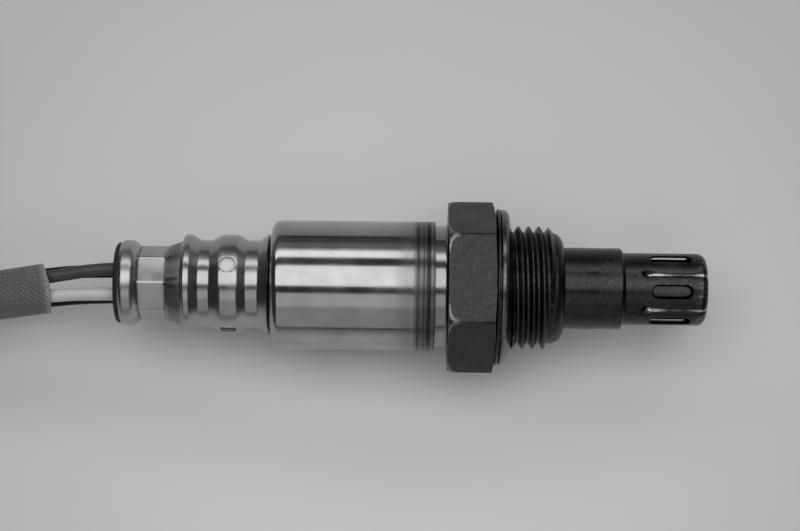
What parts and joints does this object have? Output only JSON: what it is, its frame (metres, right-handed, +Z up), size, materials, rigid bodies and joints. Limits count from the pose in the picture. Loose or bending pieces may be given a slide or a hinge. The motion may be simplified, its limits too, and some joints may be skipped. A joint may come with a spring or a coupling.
{
  "type": "oxygen sensor",
  "caption": "Exhaust gas oxygen sensor with a hexagon and threaded boss, a slotted nose, a vented rear cover, and wires in a braided sleeve to a sealed plug.",
  "frame": {"origin": "on the sensor's axis, at the front sealing face of the crush gasket, where the thread starts", "axes": "+X along the sensor's axis towards the slotted nose, +Z up from the surface it lies on, +Y to the left of +X"},
  "size_m": [0.1923, 0.0855, 0.023],
  "materials": {
    "dark_steel": "dark satin, worn bright on the edges",
    "gasket_steel": "dark satin",
    "nose_steel": "dark satin, rubbed bright on the flutes",
    "bright_steel": "drawn, semi-bright",
    "nickel_strip": "plated strip",
    "white_ceramic": "unglazed",
    "talc": "pressed powder",
    "white_filter": "porous, matt",
    "black_rubber": "matt",
    "grey_wire": "smooth",
    "white_wire": "smooth",
    "black_wire": "smooth",
    "braided_sleeve": "varnished glass-fibre braid",
    "black_nylon": "moulded",
    "dark_plastic": "fine moulded texture",
    "grey_plastic": "moulded",
    "seal_rubber": "soft, matt"
  },
  "bodies": {
    "root": {"coil_tie": "black_nylon", "contact_1": "nickel_strip", "contact_2": "nickel_strip", "contact_3": "nickel_strip", "contact_4": "nickel_strip", "crimp_insulator": "white_ceramic", "crimp_ring": "gasket_steel", "disc_spring": "bright_steel", "filter_cover": "bright_steel", "front_insulator": "white_ceramic", "gasket": "gasket_steel", "grommet": "black_rubber", "housing": "dark_steel", "inner_element_cover": "nose_steel", "lead_wire_1": "grey_wire", "lead_wire_2": "white_wire", "lead_wire_3": "black_wire", "lead_wire_4": "black_wire", "main_cover": "bright_steel", "outer_element_cover": "nose_steel", "packing_washer": "gasket_steel", "plug_body": "dark_plastic", "plug_contacts": "nickel_strip", "plug_retainer": "grey_plastic", "plug_seal": "seal_rubber", "plug_wire_1": "grey_wire", "plug_wire_2": "white_wire", "plug_wire_3": "black_wire", "plug_wire_4": "black_wire", "rear_insulator": "white_ceramic", "seal_powder": "talc", "sensing_element": "white_ceramic", "sleeve_coil": "braided_sleeve", "sleeve_lead": "braided_sleeve", "vent_filter": "white_filter", "wire_seals": "seal_rubber"}
  },
  "joints": []
}
